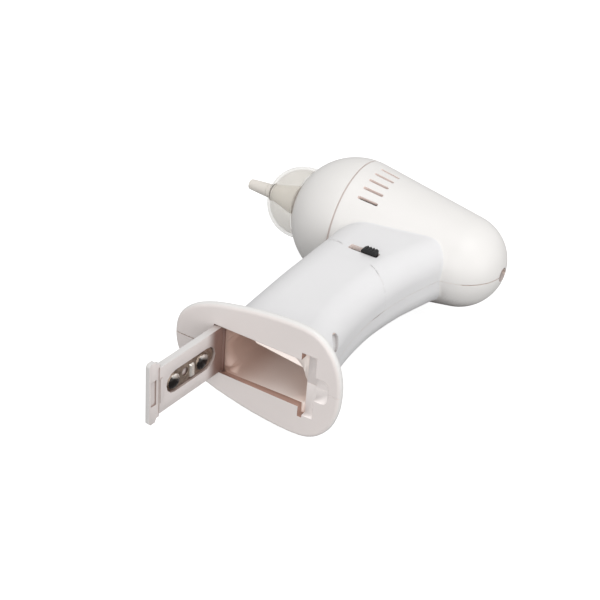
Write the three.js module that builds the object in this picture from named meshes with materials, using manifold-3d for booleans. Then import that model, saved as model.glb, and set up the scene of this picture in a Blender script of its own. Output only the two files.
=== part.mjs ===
// Handheld vacuum ear cleaner: a pistol-shaped body lying on its side with
// its battery door open. Millimetres, +Z up. The head's axis runs along X
// with the nozzle toward -X, the handle runs toward -Y, and the two body
// halves meet on the plane that contains both.

import * as THREE from "three";
import { mergeVertices } from "three/addons/utils/BufferGeometryUtils.js";
import Module from "manifold-3d";

const wasm = await Module();
wasm.setup();

// ---- driving dimensions -------------------------------------------------

const GAP = 0.3;

// head: a cone that blends two spheres on the X axis
const DOME_R = 25;
const TAIL_R = 17.84;
const TAIL_X = 44.85;
const WALL = 2;
const SEAM_X = 1.56;
const TAIL_HOLE_R = 2.8;

// handle and its foot
const HALF_THICK = 13.6;
const FRONT_ROUND = 13;
const REAR_ROUND = 10;
const FOOT_Y = -101.3;
const FOOT_THICK = 3;
const GROOVE_Y = -31.5;
const GROOVE_SLOPE = -0.424;

// battery compartment
const OPEN_X0 = 2.2;
const OPEN_X1 = 37.2;
const OPEN_HALF = 9.4;
const BAY_X0 = 4.2;
const BAY_X1 = 36.3;
const BAY_END_Y = -44.2;
const RECESS_X1 = 41.5;
const RECESS_HALF = 12.3;
const RECESS_DEEP = 2.3;
const CELL_X = [13.4, 28.7];
const DOOR_CONTACT_X = [15.4, 29.4];

// battery door, drawn closed and then swung open
const HINGE_X = 4.77;
const HINGE_Y = -99.4;
const DOOR_THICK = 2.4;
const DOOR_HALF = 9.1;
const DOOR_OPEN_DEG = 95.75;

// switch
const SLOT_X = [16.9, 28.6];
const SLOT_Y = [-38.55, -35.35];
const KNOB_X = [22.1, 28];

// nozzle
const BOWL_X = -23.8;
const BOWL_R = 14.3;
const TIP_END_X = -48.46;
const TIP_BASE_X = -40.1;

// fan and motor
const FAN_X = [6.4, 14.2];
const FAN_R = 17;
const MOTOR_X = [19, 44];
const MOTOR_R = 10.2;
const MOTOR_FLAT = 7.8;

// screws: x, y of each, driven from the right-hand side
const SCREWS = [
  [25, 15.2],
  [53.4, 0],
  [34.2, -38.6],
  [7.6, -31.5],
];

// ---- geometry helpers ---------------------------------------------------

function bare(geometry) {
  const copy = geometry.clone();
  copy.deleteAttribute("normal");
  copy.deleteAttribute("uv");
  return mergeVertices(copy, 1e-4);
}

function signedVolume(geometry) {
  const p = geometry.attributes.position;
  const ix = geometry.index;
  const a = new THREE.Vector3();
  const b = new THREE.Vector3();
  const c = new THREE.Vector3();
  let sum = 0;
  for (let i = 0; i < ix.count; i += 3) {
    a.fromBufferAttribute(p, ix.getX(i));
    b.fromBufferAttribute(p, ix.getX(i + 1));
    c.fromBufferAttribute(p, ix.getX(i + 2));
    sum += a.dot(b.cross(c));
  }
  return sum / 6;
}

function outward(geometry) {
  const g = bare(geometry);
  if (signedVolume(g) < 0) {
    const ix = g.index;
    for (let i = 0; i < ix.count; i += 3) {
      const first = ix.getX(i);
      ix.setX(i, ix.getX(i + 1));
      ix.setX(i + 1, first);
    }
  }
  return g;
}

function solid(geometry) {
  const g = outward(geometry);
  const mesh = new wasm.Mesh({
    numProp: 3,
    vertProperties: new Float32Array(g.attributes.position.array),
    triVerts: new Uint32Array(g.index.array),
  });
  return new wasm.Manifold(mesh);
}

function geometryOf(manifold) {
  const mesh = manifold.getMesh();
  const g = new THREE.BufferGeometry();
  g.setAttribute("position", new THREE.BufferAttribute(mesh.vertProperties, 3));
  g.setIndex(new THREE.BufferAttribute(mesh.triVerts, 1));
  g.computeVertexNormals();
  return g;
}

function join(list) {
  return list.reduce((sum, item) => sum.add(item));
}

// profile of [x, radius] turned about the X axis
function turned(profile, segments = 48) {
  const points = profile.map(([x, r]) => new THREE.Vector2(r, x));
  const g = new THREE.LatheGeometry(points, segments);
  g.rotateZ(-Math.PI / 2);
  return g;
}

function shapeOf(points) {
  return new THREE.Shape(points.map(([a, b]) => new THREE.Vector2(a, b)));
}

// outline of [x, y] raised along Z
function raised(points, z0, z1) {
  const options = { depth: z1 - z0, bevelEnabled: false, curveSegments: 1 };
  const g = new THREE.ExtrudeGeometry(shapeOf(points), options);
  g.translate(0, 0, z0);
  return g;
}

// outline of [x, z] raised along Y
function raisedY(points, y0, y1) {
  const options = { depth: y1 - y0, bevelEnabled: false, curveSegments: 1 };
  const g = new THREE.ExtrudeGeometry(shapeOf(points), options);
  g.rotateX(Math.PI / 2);
  g.translate(0, y1, 0);
  return g;
}

// outline of [y, z] raised along X
function raisedX(points, x0, x1) {
  const options = { depth: x1 - x0, bevelEnabled: false, curveSegments: 1 };
  const g = new THREE.ExtrudeGeometry(shapeOf(points), options);
  g.rotateY(Math.PI / 2);
  g.rotateX(Math.PI / 2);
  g.translate(x0, 0, 0);
  return g;
}

function box(x0, x1, y0, y1, z0, z1) {
  const g = new THREE.BoxGeometry(x1 - x0, y1 - y0, z1 - z0);
  g.translate((x0 + x1) / 2, (y0 + y1) / 2, (z0 + z1) / 2);
  return g;
}

function rodX(r, x0, x1, y = 0, z = 0, segments = 24) {
  const g = new THREE.CylinderGeometry(r, r, x1 - x0, segments);
  g.rotateZ(Math.PI / 2);
  g.translate((x0 + x1) / 2, y, z);
  return g;
}

function rodY(r, y0, y1, x, z = 0, segments = 24) {
  const g = new THREE.CylinderGeometry(r, r, y1 - y0, segments);
  g.translate(x, (y0 + y1) / 2, z);
  return g;
}

function rodZ(r, z0, z1, x, y, segments = 24) {
  const g = new THREE.CylinderGeometry(r, r, z1 - z0, segments);
  g.rotateX(Math.PI / 2);
  g.translate(x, y, (z0 + z1) / 2);
  return g;
}

// rectangle a0..a1 by b0..b1 with one corner radius
function roundRect(a0, a1, b0, b1, r, steps = 5) {
  const corners = [
    [a1 - r, b0 + r, -90],
    [a1 - r, b1 - r, 0],
    [a0 + r, b1 - r, 90],
    [a0 + r, b0 + r, 180],
  ];
  const points = [];
  for (const [ca, cb, start] of corners) {
    for (let i = 0; i <= steps; i += 1) {
      const t = THREE.MathUtils.degToRad(start + (90 * i) / steps);
      points.push([ca + r * Math.cos(t), cb + r * Math.sin(t)]);
    }
  }
  return points;
}

// closed skin through rings of [x, z] points, one ring for each y
function loft(rings) {
  const count = rings[0].points.length;
  const positions = [];
  const index = [];
  for (const ring of rings) {
    for (const [x, z] of ring.points) {
      positions.push(x, ring.y, z);
    }
  }
  for (let k = 0; k + 1 < rings.length; k += 1) {
    for (let i = 0; i < count; i += 1) {
      const j = (i + 1) % count;
      const a = k * count + i;
      const b = k * count + j;
      index.push(a, b, a + count);
      index.push(b, b + count, a + count);
    }
  }
  for (const k of [0, rings.length - 1]) {
    const centre = positions.length / 3;
    const ring = rings[k];
    const mid = [0, 0];
    for (const [x, z] of ring.points) {
      mid[0] += x / count;
      mid[1] += z / count;
    }
    positions.push(mid[0], ring.y, mid[1]);
    for (let i = 0; i < count; i += 1) {
      const a = k * count + i;
      const b = k * count + ((i + 1) % count);
      if (k === 0) {
        index.push(centre, b, a);
      } else {
        index.push(centre, a, b);
      }
    }
  }
  const g = new THREE.BufferGeometry();
  g.setAttribute("position", new THREE.Float32BufferAttribute(positions, 3));
  g.setIndex(index);
  return g;
}

// smooth value of a curve given as [y, value] rows, y falling
function along(rows, y) {
  const points = rows.map(([a, b]) => new THREE.Vector2(a, b));
  let k = 0;
  while (k + 2 < points.length && y < points[k + 1].x) {
    k += 1;
  }
  const p1 = points[k];
  const p2 = points[k + 1];
  const p0 = points[Math.max(k - 1, 0)];
  const p3 = points[Math.min(k + 2, points.length - 1)];
  const t = (y - p1.x) / (p2.x - p1.x);
  const m1 = ((p2.y - p0.y) / (p2.x - p0.x)) * (p2.x - p1.x);
  const m2 = ((p3.y - p1.y) / (p3.x - p1.x)) * (p2.x - p1.x);
  const t2 = t * t;
  const t3 = t2 * t;
  const a = (2 * t3 - 3 * t2 + 1) * p1.y;
  const b = (t3 - 2 * t2 + t) * m1;
  const c = (3 * t2 - 2 * t3) * p2.y;
  const d = (t3 - t2) * m2;
  return a + b + c + d;
}

// tube that follows a smooth path through the given points
function tube(points, r, steps, sides = 6) {
  const path = new THREE.CatmullRomCurve3(points.map((p) => new THREE.Vector3(...p)));
  const ring = new THREE.Shape();
  ring.absarc(0, 0, r, 0, 2 * Math.PI, false);
  const options = { steps, extrudePath: path, bevelEnabled: false, curveSegments: sides };
  return new THREE.ExtrudeGeometry(ring, options);
}

// ---- body outline -------------------------------------------------------

const TAPER = (DOME_R - TAIL_R) / TAIL_X;

// outline of the head, pulled in by inset, from the dome's tip to the tail's
function headProfile(inset, from, domeSteps, tailSteps) {
  const r1 = DOME_R - inset;
  const r2 = TAIL_R - inset;
  const turn = Math.PI / 2 - Math.asin(TAPER);
  const points = [];
  const first = Math.acos(THREE.MathUtils.clamp(from / r1, -1, 1));
  for (let i = 0; i <= domeSteps; i += 1) {
    const a = first + ((turn - first) * i) / domeSteps;
    points.push([r1 * Math.cos(a), r1 * Math.sin(a)]);
  }
  for (let i = 0; i <= tailSteps; i += 1) {
    const a = turn * (1 - i / tailSteps);
    points.push([TAIL_X + r2 * Math.cos(a), r2 * Math.sin(a)]);
  }
  points[points.length - 1][1] = 0;
  return points;
}

const FRONT_EDGE = [
  [-4, 2.4],
  [-24, 1.9],
  [-45, 1.4],
  [-60, 1.1],
  [-73, 1.2],
  [-90, 1.5],
  [-98.4, 1.5],
];

const REAR_EDGE = [
  [-4, 50],
  [-18.8, 45.1],
  [-26.6, 42.8],
  [-34.3, 40.7],
  [-45.7, 38.7],
  [-55, 37.8],
  [-66, 37.8],
  [-76, 38.6],
  [-90, 41],
  [-98.4, 43],
];

const HANDLE_RINGS = [
  -6, -16, -22, -29, -37, -46, -56, -67, -78, -89, -92.5, -95, -96.8, -98.4,
];

// how far the foot's fillet stands out from the handle at height y
function flare(y) {
  const t = THREE.MathUtils.clamp((-89 - y) / 9.45, 0, 1);
  return 4.6 * (1 - Math.sqrt(1 - t * t));
}

function handleRing(y, steps) {
  const out = flare(y);
  const x0 = along(FRONT_EDGE, y) - out;
  const x1 = along(REAR_EDGE, y) + out;
  const h = HALF_THICK + out;
  const rf = FRONT_ROUND + out;
  const rr = REAR_ROUND + out;
  const corners = [
    [x1 - rr, -(h - rr), rr, -90],
    [x1 - rr, h - rr, rr, 0],
    [x0 + rf, h - rf, rf, 90],
    [x0 + rf, -(h - rf), rf, 180],
  ];
  const points = [];
  for (const [cx, cz, r, start] of corners) {
    for (let i = 0; i <= steps; i += 1) {
      const a = THREE.MathUtils.degToRad(start + (90 * i) / steps);
      points.push([cx + r * Math.cos(a), cz + r * Math.sin(a)]);
    }
  }
  return { y, points };
}

// half outline of the foot, front to rear, as [x, half width]
const FOOT_HALF = [
  [-13.5, 0],
  [-12.1, 7.2],
  [-7.2, 12.8],
  [0, 16.5],
  [13, 19.8],
  [22, 21.2],
  [32, 21.9],
  [39, 21.3],
  [43.8, 18.8],
  [48.1, 13.4],
  [50.5, 6.3],
  [51, 0],
];

function footRing(y, inset) {
  const upper = FOOT_HALF.map(([x, z]) => new THREE.Vector3(x, 0, z));
  const lower = FOOT_HALF.slice(1, -1).reverse().map(([x, z]) => new THREE.Vector3(x, 0, -z));
  const curve = new THREE.CatmullRomCurve3([...upper, ...lower], true, "centripetal");
  const count = 36;
  const points = [];
  for (let i = 0; i < count; i += 1) {
    const p = curve.getPointAt(i / count);
    const t = curve.getTangentAt(i / count);
    points.push([p.x + inset * t.z, p.z - inset * t.x]);
  }
  return { y, points };
}

function footPlate() {
  const round = FOOT_THICK / 2;
  const rings = [1, 0.87, 0.5, 0, -0.5, -0.87, -1].map((t) => {
    const inset = round * (1 - Math.sqrt(1 - t * t));
    return footRing(FOOT_Y + round + t * round, inset);
  });
  return loft(rings);
}

// ---- body shells --------------------------------------------------------

function headOuter() {
  const profile = headProfile(0, SEAM_X, 1, 10);
  return turned([[SEAM_X, 0], ...profile], 40);
}

function headHollow() {
  const profile = headProfile(WALL, SEAM_X - 1, 1, 5);
  return turned([[SEAM_X - 1, 0], ...profile], 24);
}

// hollow of the handle between the head and the compartment
function upperHollow() {
  const rings = [-5, -17, -28, -38, BAY_END_Y].map((y) => {
    const x0 = along(FRONT_EDGE, y) + WALL;
    const x1 = along(REAR_EDGE, y) - WALL;
    const h = HALF_THICK - WALL;
    return { y, points: roundRect(x0, x1, -h, h, 8.6, 5) };
  });
  return loft(rings);
}

function arc(cx, cz, r, from, to, steps) {
  const points = [];
  for (let i = 0; i <= steps; i += 1) {
    const a = THREE.MathUtils.degToRad(from + ((to - from) * i) / steps);
    points.push([cx + r * Math.cos(a), cz + r * Math.sin(a)]);
  }
  return points;
}

// compartment section: square at the mouth's rear floor, cradled above
function bayRing(y, rear, low, inset = 0) {
  const x1 = rear - inset;
  const half = OPEN_HALF - inset;
  const front = 6.5;
  const cx = BAY_X0 + inset + front;
  const cz = half - front;
  const points = [
    ...arc(x1 - low, -half + low, low, -90, 0, 4),
    [x1, 0.3],
    ...arc(CELL_X[1], 0, 7.9 - inset, 10, 90, 7),
    [20, half],
    ...arc(cx, cz, front, 90, 180, 5),
    ...arc(cx, -cz, front, 180, 270, 5),
  ];
  return { y, points };
}

function bay() {
  return loft([
    bayRing(BAY_END_Y + 1, BAY_X1, 4.4),
    bayRing(-74, BAY_X1, 4),
    bayRing(-84, BAY_X1 + 0.5, 2.4),
    bayRing(-92, OPEN_X1, 1),
    bayRing(FOOT_Y + 2.6, OPEN_X1, 0.8),
  ]);
}

function doorway() {
  const notchX = OPEN_X1 - 1.25;
  const pieces = [
    solid(box(OPEN_X0, OPEN_X1, FOOT_Y - 1, FOOT_Y + 2.8, -OPEN_HALF, OPEN_HALF)),
    solid(box(notchX, RECESS_X1, FOOT_Y - 1, FOOT_Y + RECESS_DEEP, -RECESS_HALF, RECESS_HALF)),
    solid(box(notchX, OPEN_X1 + 0.4, FOOT_Y - 1, FOOT_Y + 2.8, -13.3, RECESS_HALF)),
    solid(raisedY(roundRect(RECESS_X1 - 3, RECESS_X1 + 5, -4.6, 4.6, 2.2, 3), FOOT_Y - 1, FOOT_Y + 1.5)),
    solid(rodZ(1.25, -OPEN_HALF - 1.7, OPEN_HALF + 1.7, HINGE_X, HINGE_Y, 16)),
    solid(box(OPEN_X0, BAY_X0 + 3, FOOT_Y + 1, FOOT_Y + 4.2, -OPEN_HALF, OPEN_HALF)),
  ];
  return join(pieces);
}

// styling line around the handle, square to the body's mid-plane
function groove() {
  const wide = 0.35;
  const band = [];
  for (const x of [-8, 52]) {
    band.push([x, GROOVE_Y + GROOVE_SLOPE * x - wide]);
  }
  for (const x of [52, -8]) {
    band.push([x, GROOVE_Y + GROOVE_SLOPE * x + wide]);
  }
  const slab = solid(raised(band, -20, 20));
  const cores = [-24, -34, -46, -56, -62].map((y) => {
    const inner = handleRing(y, 5);
    const x0 = along(FRONT_EDGE, y);
    const x1 = along(REAR_EDGE, y);
    const mid = (x0 + x1) / 2;
    const fit = 1 - 0.9 / (x1 - x0);
    const fitZ = 1 - 0.45 / HALF_THICK;
    return { y, points: inner.points.map(([x, z]) => [mid + (x - mid) * fit, z * fitZ]) };
  });
  return slab.subtract(solid(loft(cores)));
}

function stadium(x0, x1, y0, y1) {
  return roundRect(x0, x1, y0, y1, Math.min(x1 - x0, y1 - y0) / 2 - 0.01, 3);
}

const VENT_ANGLES = [35.3, 24.4, 14, 3.5, -7.8];

function vents(side) {
  return join(
    VENT_ANGLES.map((angle) => {
      const g = raised(stadium(6.7, 14.9, -0.6, 0.6), 16, 28);
      g.rotateX(THREE.MathUtils.degToRad(angle));
      if (side < 0) {
        g.scale(1, 1, -1);
      }
      return solid(g);
    }),
  );
}

// posts inside the body that take the four screws and carry the motor
function posts() {
  const list = SCREWS.map(([x, y]) => solid(rodZ(3.3, -24, 24, x, y, 12)));
  for (const z of [1, -1]) {
    list.push(solid(box(MOTOR_X[0] + 3, MOTOR_X[0] + 5, -22, 22, z < 0 ? -24 : 8.2, z < 0 ? -8.2 : 24)));
    list.push(solid(box(MOTOR_X[1] - 6, MOTOR_X[1] - 4, -22, 22, z < 0 ? -24 : 8.2, z < 0 ? -8.2 : 24)));
  }
  return join(list);
}

function wholeShell() {
  const outer = join([
    solid(headOuter()),
    solid(loft(HANDLE_RINGS.map((y) => handleRing(y, 5)))).subtract(solid(rodX(30, -40, SEAM_X + 0.02, 0, 0, 8))),
    solid(footPlate()),
  ]);
  const hollow = join([solid(headHollow()), solid(upperHollow())]);
  const open = hollow.subtract(posts());
  return outer
    .subtract(open)
    .subtract(solid(bay()))
    .subtract(doorway())
    .subtract(groove())
    .subtract(solid(rodX(TAIL_HOLE_R, 55, 66, 0, 0, 18)));
}

function strapRecess() {
  const g = raised(stadium(-3.3, 3.3, -2, 2), -1.7, 4);
  const along = new THREE.Vector3(0.42, -0.62, -0.67).normalize();
  const out = new THREE.Vector3(0.85, 0, 0.53);
  const across = out.clone().cross(along).normalize();
  const up = along.clone().cross(across);
  g.applyMatrix4(new THREE.Matrix4().makeBasis(along, across, up));
  g.translate(39, -84.3, 7.9);
  return solid(g);
}

function leftShell(shell) {
  const side = solid(box(-60, 80, -120, 40, GAP / 2, 40));
  const pilot = SCREWS.map(([x, y]) => solid(rodZ(1.5, -1, 7.4, x, y, 8)));
  const slot = solid(raised(roundRect(...SLOT_X, ...SLOT_Y, 0.4, 2), 8, 16));
  return shell
    .intersect(side)
    .subtract(join(pilot))
    .subtract(slot)
    .subtract(vents(1))
    .subtract(strapRecess());
}

function rightShell(shell) {
  const side = solid(box(-60, 80, -120, 40, -40, -GAP / 2));
  const wells = SCREWS.flatMap(([x, y]) => [
    solid(rodZ(1.5, -8, 1, x, y, 8)),
    solid(rodZ(2.7, -26, -6, x, y, 12)),
  ]);
  return shell
    .intersect(side)
    .subtract(join(wells))
    .subtract(vents(-1));
}

// ---- nose, guard and tip ------------------------------------------------

function noseDome() {
  const outer = [];
  const first = Math.acos(SEAM_X / DOME_R) + 0.013;
  const last = Math.PI - Math.asin(4.75 / DOME_R);
  for (let i = 0; i <= 10; i += 1) {
    const a = first + ((last - first) * i) / 10;
    outer.push([DOME_R * Math.cos(a), DOME_R * Math.sin(a)]);
  }
  const inner = [];
  const wall = DOME_R - WALL;
  const innerFirst = Math.PI - Math.asin(3 / wall);
  const innerLast = Math.PI / 2 + 0.08;
  for (let i = 0; i <= 5; i += 1) {
    const a = innerFirst + ((innerLast - innerFirst) * i) / 5;
    inner.push([wall * Math.cos(a), wall * Math.sin(a)]);
  }
  const spigot = [
    [-25.6, 4.7],
    [-28.7, 4.05],
    [-29, 3.7],
    [-29, 3],
  ];
  const lip = [
    [-0.6, 20.7],
    [5.2, 20.7],
    [5.2, 21.9],
    [SEAM_X - GAP, 21.9],
  ];
  const start = [SEAM_X - GAP, DOME_R - 0.05];
  return turned([start, ...outer, ...spigot, ...inner, ...lip, start], 40);
}

function guard() {
  const bowlIn = BOWL_R - 1.2;
  const outer = [];
  const inner = [];
  const last = Math.asin(2.8 / BOWL_R);
  for (let i = 0; i <= 7; i += 1) {
    const a = Math.PI / 2 + ((Math.PI / 2 - last) * i) / 7;
    outer.push([BOWL_X + BOWL_R * Math.cos(a), BOWL_R * Math.sin(a)]);
  }
  const stop = Math.asin(3.35 / bowlIn);
  for (let i = 0; i <= 5; i += 1) {
    const a = Math.PI - stop + ((stop - Math.PI / 2) * i) / 5;
    inner.push([BOWL_X + bowlIn * Math.cos(a), bowlIn * Math.sin(a)]);
  }
  const nipple = [
    [-39.8, 2.75],
    [-39.8, 1.45],
    [-44.4, 1.45],
    [-44.4, 0.8],
    [-38.6, 0.8],
    [-37.2, 1.8],
    [-29, 4.4],
    [-25.7, 5.15],
    [-25.7, 6.15],
    [-27, 5.9],
  ];
  const clear = DOME_R + 0.4;
  const rim = [
    [-Math.sqrt(clear * clear - bowlIn * bowlIn), bowlIn],
    [-Math.sqrt(clear * clear - BOWL_R * BOWL_R), BOWL_R],
  ];
  const profile = [...outer, ...nipple, ...inner, ...rim];
  return turned([...profile, profile[0]], 30);
}

function earTip() {
  const profile = [
    [TIP_BASE_X, 2.8],
    [-43, 2.55],
    [-47.9, 2.12],
    [-48.3, 1.98],
    [TIP_END_X, 1.7],
    [TIP_END_X, 1.25],
    [-48.2, 1.1],
    [-45, 1.1],
    [-44.7, 1.75],
    [TIP_BASE_X, 1.75],
  ];
  return turned([...profile, profile[0]], 20);
}

function filterPad() {
  return turned(
    [
      [-21.4, 0.6],
      [-21.4, 6.6],
      [-19.4, 6.6],
      [-19.4, 0.6],
      [-21.4, 0.6],
    ],
    28,
  );
}

// ring that holds the filter pad behind the nose opening
function filterRing() {
  return turned(
    [
      [-21.6, 7],
      [-20.6, 9.2],
      [-18.2, 9.2],
      [-18.2, 4.4],
      [-19.1, 4.4],
      [-19.1, 7],
      [-21.6, 7],
    ],
    28,
  );
}

// ---- fan and motor ------------------------------------------------------

// plate in front of the fan with its central intake
function inletPlate() {
  const profile = [
    [4.2, 6],
    [4.2, 20.3],
    [5.4, 20.3],
    [5.4, 7],
    [5.9, 6],
  ];
  return turned([...profile, profile[0]], 28);
}

function impeller() {
  const pieces = [
    solid(rodX(FAN_R, FAN_X[1] - 1.2, FAN_X[1], 0, 0, 32)),
    solid(rodX(3.4, FAN_X[0], FAN_X[1] + 1.4, 0, 0, 20)),
  ];
  for (let i = 0; i < 8; i += 1) {
    const blade = [];
    const thick = 1.1;
    for (let k = 0; k <= 4; k += 1) {
      const t = k / 4;
      const r = 3 + t * (FAN_R - 3.4);
      blade.push([r * Math.cos(t * 0.7), r * Math.sin(t * 0.7)]);
    }
    for (let k = 4; k >= 0; k -= 1) {
      const t = k / 4;
      const r = 3 + t * (FAN_R - 3.4);
      const a = t * 0.7 + thick / r;
      blade.push([r * Math.cos(a), r * Math.sin(a)]);
    }
    const g = raisedX(blade, FAN_X[0] + 0.6, FAN_X[1] - 0.6);
    g.rotateX((i * Math.PI) / 4);
    pieces.push(solid(g));
  }
  return join(pieces).subtract(solid(rodX(1.3, FAN_X[0] - 1, FAN_X[1] + 3, 0, 0, 16)));
}

function motorOutline(r, flat) {
  const points = [];
  const a0 = Math.asin(flat / r);
  for (const side of [0, Math.PI]) {
    for (let i = 0; i <= 8; i += 1) {
      const a = side - a0 + (2 * a0 * i) / 8;
      points.push([r * Math.cos(a), r * Math.sin(a)]);
    }
  }
  return points;
}

function motorCan() {
  const outer = solid(raisedX(motorOutline(MOTOR_R, MOTOR_FLAT), ...MOTOR_X));
  const inner = solid(raisedX(motorOutline(MOTOR_R - 1, MOTOR_FLAT - 1), MOTOR_X[0] + 1, MOTOR_X[1] + 1));
  return outer
    .add(solid(rodX(3, MOTOR_X[0] - 1.4, MOTOR_X[0] + 0.5, 0, 0, 20)))
    .subtract(inner)
    .subtract(solid(rodX(1.35, MOTOR_X[0] - 3, MOTOR_X[0] + 3, 0, 0, 16)));
}

function motorCap() {
  const x = MOTOR_X[1] + GAP;
  return solid(raisedX(motorOutline(MOTOR_R, MOTOR_FLAT), x, x + 2.6))
    .add(solid(rodX(3, x + 1, x + 4, 0, 0, 20)))
    .subtract(solid(rodX(1.35, x - 1, x + 2.4, 0, 0, 16)));
}

function rotor() {
  const lobes = [];
  for (let i = 0; i < 3; i += 1) {
    const g = raisedX(roundRect(1.9, 6.2, -3.4, 3.4, 0.8, 2), MOTOR_X[0] + 5, MOTOR_X[0] + 18);
    g.rotateX((i * 2 * Math.PI) / 3);
    lobes.push(solid(g));
  }
  const commutator = solid(rodX(2.4, MOTOR_X[0] + 4, MOTOR_X[0] + 23, 0, 0, 18));
  return join([commutator, ...lobes]).subtract(solid(rodX(1.3, 10, 60, 0, 0, 16)));
}

function motorTerminal(side) {
  const x = MOTOR_X[1] + 3.2;
  return roundRect(x, x + 4, side * 6 - 0.4, side * 6 + 0.4, 0.15, 1);
}

// ---- switch -------------------------------------------------------------

const SWITCH_MID_Y = (SLOT_Y[0] + SLOT_Y[1]) / 2;

function switchKnob() {
  const [x0, x1] = KNOB_X;
  const half = 1.3;
  const side = [
    [x0, 10.4],
    [x0 + 1.2, 10.4],
    [x0 + 1.2, 9],
    [x1 - 1.2, 9],
    [x1 - 1.2, 10.4],
    [x1, 10.4],
    [x1, 15.2],
    [x0 + 0.8, 15.2],
    [x0, 14.4],
  ];
  const options = { depth: 2 * half, bevelEnabled: false };
  const g = new THREE.ExtrudeGeometry(shapeOf(side), options);
  g.rotateX(Math.PI / 2);
  g.translate(0, SWITCH_MID_Y + half, 0);
  const pieces = [solid(g)];
  for (let i = 0; i < 4; i += 1) {
    const x = x0 + 1.3 + i * 1.2;
    pieces.push(solid(box(x, x + 0.55, SWITCH_MID_Y - half, SWITCH_MID_Y + half, 15, 15.55)));
  }
  return join(pieces);
}

function switchBody() {
  const outer = solid(box(15, 30.4, SWITCH_MID_Y - 3, SWITCH_MID_Y + 3, 2.6, 10));
  const track = solid(box(17, 28.4, SWITCH_MID_Y - 1.8, SWITCH_MID_Y + 1.8, 7, 12));
  return outer.subtract(track);
}

// ---- battery contacts ---------------------------------------------------

function bulkhead() {
  const outline = bayRing(0, BAY_X1, 4.8, 0.5).points;
  const plate = solid(raisedY(outline, BAY_END_Y - 2.2, BAY_END_Y - 0.7));
  const holes = CELL_X.map((x) => solid(rodY(1.2, BAY_END_Y - 4, BAY_END_Y + 2, x, 4.6, 12)));
  return plate.subtract(join(holes));
}

// flat contact leaf on the bay's inner end, with a tail through the bulkhead
function innerContact(x) {
  const y = BAY_END_Y - 2.5;
  const leaf = solid(raisedY(roundRect(x - 5, x + 5, -5.4, 5.4, 1.2, 3), y - 0.5, y));
  const tail = solid(box(x - 0.7, x + 0.7, y - 0.4, y + 6, 4.2, 5));
  return leaf.add(tail);
}

function contactBump(x) {
  const y = BAY_END_Y - 2.5;
  return innerContact(x).add(solid(rodY(2.6, y - 1.6, y - 0.3, x, -0.4, 20)));
}

// conical coil, wide end at y0, free end at y1
function coil(x, z, y0, y1, r0, r1, turns, wire) {
  const points = [];
  const count = turns * 9;
  for (let i = 0; i <= count; i += 1) {
    const t = i / count;
    const a = t * turns * 2 * Math.PI;
    const r = r0 + (r1 - r0) * t;
    points.push([x + r * Math.cos(a), y0 + (y1 - y0) * t, z + r * Math.sin(a)]);
  }
  return tube(points, wire, count, 2);
}

// ---- battery door -------------------------------------------------------

const DOOR_X0 = 3.7;
const DOOR_BODY_X1 = 36.6;
const DOOR_LIP_X1 = 41.1;
const DOOR_WINDOW = [9.2, 33.4];
const DOOR_LIP = [0.4, 2];

function doorPanel() {
  const inside = FOOT_Y + DOOR_THICK;
  const [low, high] = DOOR_LIP;
  const side = [
    [DOOR_BODY_X1, FOOT_Y],
    [DOOR_BODY_X1, inside],
    [DOOR_X0 + 0.7, inside],
    [DOOR_X0, inside - 0.7],
    [DOOR_X0, FOOT_Y + 1.2],
    [DOOR_X0 + 0.35, FOOT_Y + 0.4],
    [DOOR_X0 + 1.2, FOOT_Y],
  ];
  const body = solid(raised(side, -DOOR_HALF, DOOR_HALF));
  const half = [
    [DOOR_BODY_X1 - 0.3, 10.6],
    [DOOR_BODY_X1 + 1, 10.6],
    [DOOR_BODY_X1 + 1.7, 12],
    [DOOR_LIP_X1 - 0.7, 12],
    [DOOR_LIP_X1, 11.2],
  ];
  const mirror = half.map(([x, z]) => [x, -z]).reverse();
  const lip = solid(raisedY([...half, ...mirror], FOOT_Y + low, FOOT_Y + high));
  const tray = solid(box(DOOR_BODY_X1 + 1.2, DOOR_LIP_X1 - 0.9, FOOT_Y + high - 0.5, inside, -4.9, 4.9));
  const pin = solid(rodZ(0.9, -10.7, 10.7, HINGE_X, HINGE_Y, 12));
  const rib = solid(box(DOOR_BODY_X1 - 1, DOOR_BODY_X1 - 0.2, inside - 0.2, inside + 0.35, -4.9, 4.9));
  const window = stadium(...DOOR_WINDOW, -4.3, 4.3);
  const pocket = solid(raisedY(window, FOOT_Y + 1, inside + 1));
  return join([body, lip.subtract(tray), pin, rib]).subtract(pocket);
}

// low dome pressed up out of the door's contact sheet
function pressedDome(x, y) {
  const profile = [
    [0, 2.9],
    [0.9, 2.8],
    [1.4, 2.1],
    [1.6, 0],
  ];
  const g = turned([[0, 0], ...profile], 18);
  g.rotateZ(Math.PI / 2);
  g.translate(x, y, 0);
  return solid(g);
}

function doorContact() {
  const y = FOOT_Y + 1.3;
  const leaf = solid(raisedY(stadium(9.6, 33, -3.9, 3.9), y, y + 0.4));
  const eye = solid(raisedY(stadium(23.2, 25, -1.6, 1.6), y - 1, y + 2));
  const strap = solid(box(19.8, 21.4, y + 0.2, y + 1, -2.8, 2.8));
  const domes = DOOR_CONTACT_X.map((x) => pressedDome(x, y + 0.2));
  return join([leaf, strap, ...domes]).subtract(eye);
}

// ---- screws -------------------------------------------------------------

function screw([x, y]) {
  const head = solid(rodZ(2.3, -8, -6.3, x, y, 14));
  const shank = solid(rodZ(1.15, -6.4, 6.4, x, y, 8));
  const slotA = solid(box(x - 1.5, x + 1.5, y - 0.3, y + 0.3, -9, -7.2));
  const slotB = solid(box(x - 0.3, x + 0.3, y - 1.5, y + 1.5, -9, -7.2));
  return head.add(shank).subtract(slotA).subtract(slotB);
}

// ---- colours ------------------------------------------------------------

function plastic(colour, roughness = 0.35) {
  return new THREE.MeshStandardMaterial({ color: colour, roughness, metalness: 0 });
}

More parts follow.
